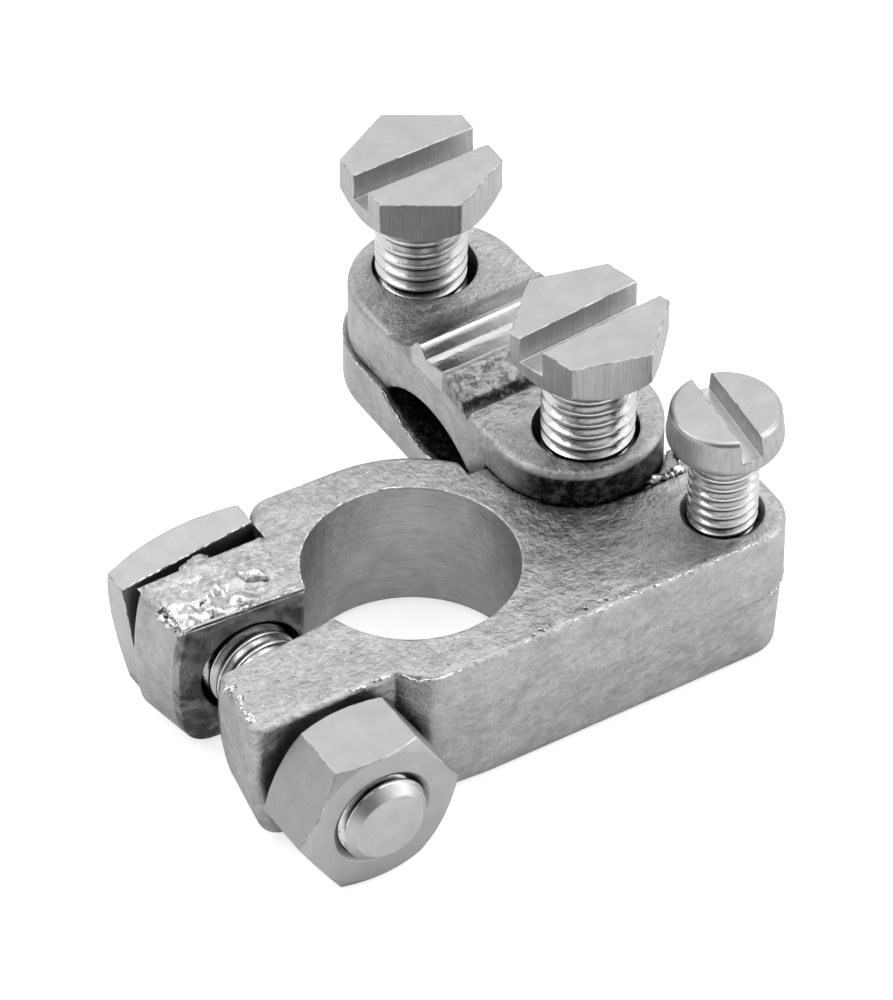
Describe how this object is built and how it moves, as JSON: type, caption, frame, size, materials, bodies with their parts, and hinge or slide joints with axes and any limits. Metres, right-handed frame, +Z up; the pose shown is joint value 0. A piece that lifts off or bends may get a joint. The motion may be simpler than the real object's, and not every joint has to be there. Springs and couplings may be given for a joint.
{
  "type": "battery terminal clamp",
  "caption": "Cast battery terminal clamp with a tapered post bore, clamp bolt and nut, cable saddle with cap and slotted screws, and a wire screw.",
  "frame": {"origin": "on the post bore's axis, at the casting's bottom face", "axes": "+Z up, away from the battery; +X along the arm, away from the clamp ears; -Y towards the clamp nut"},
  "size_m": [0.0513, 0.0539, 0.029],
  "materials": {
    "casting": "tin-plated casting, light grey, fine grained",
    "zinc_steel": "zinc-plated steel, satin",
    "screw_steel": "zinc-plated steel, bright"
  },
  "bodies": {
    "casting": {"clamp_body": "casting"},
    "cap": {"saddle_cap": "casting"},
    "bolt": {"clamp_bolt": "zinc_steel"},
    "nut": {"clamp_nut": "zinc_steel"},
    "front_screw": {"saddle_screw_front": "screw_steel"},
    "rear_screw": {"saddle_screw_rear": "screw_steel"},
    "small_screw": {"wire_screw": "screw_steel"}
  },
  "joints": [
    {"name": "nut_spin", "type": "hinge", "parent": "casting", "child": "nut", "pos_m": [-0.0138, -0.01155, 0.00645], "axis": [0, -1, 0], "range_deg": [0, 1440]},
    {"name": "bolt_slide", "type": "slide", "parent": "casting", "child": "bolt", "axis": [0, 1, 0], "range_m": [0, 0.005]},
    {"name": "cap_lift", "type": "slide", "parent": "casting", "child": "cap", "axis": [0, 0, 1], "range_m": [0, 0.007]},
    {"name": "front_screw_travel", "type": "slide", "parent": "casting", "child": "front_screw", "axis": [0, 0, 1], "range_m": [-0.00755, 0.0015]},
    {"name": "rear_screw_travel", "type": "slide", "parent": "casting", "child": "rear_screw", "axis": [0, 0, 1], "range_m": [-0.00715, 0.0015]},
    {"name": "wire_screw_travel", "type": "slide", "parent": "casting", "child": "small_screw", "axis": [0, 0, 1], "range_m": [-0.00735, 0.003]}
  ],
  "couplings": [
    {"joint": "bolt_slide", "follows": "nut_spin", "m_per_rad": 0.00019894}
  ]
}
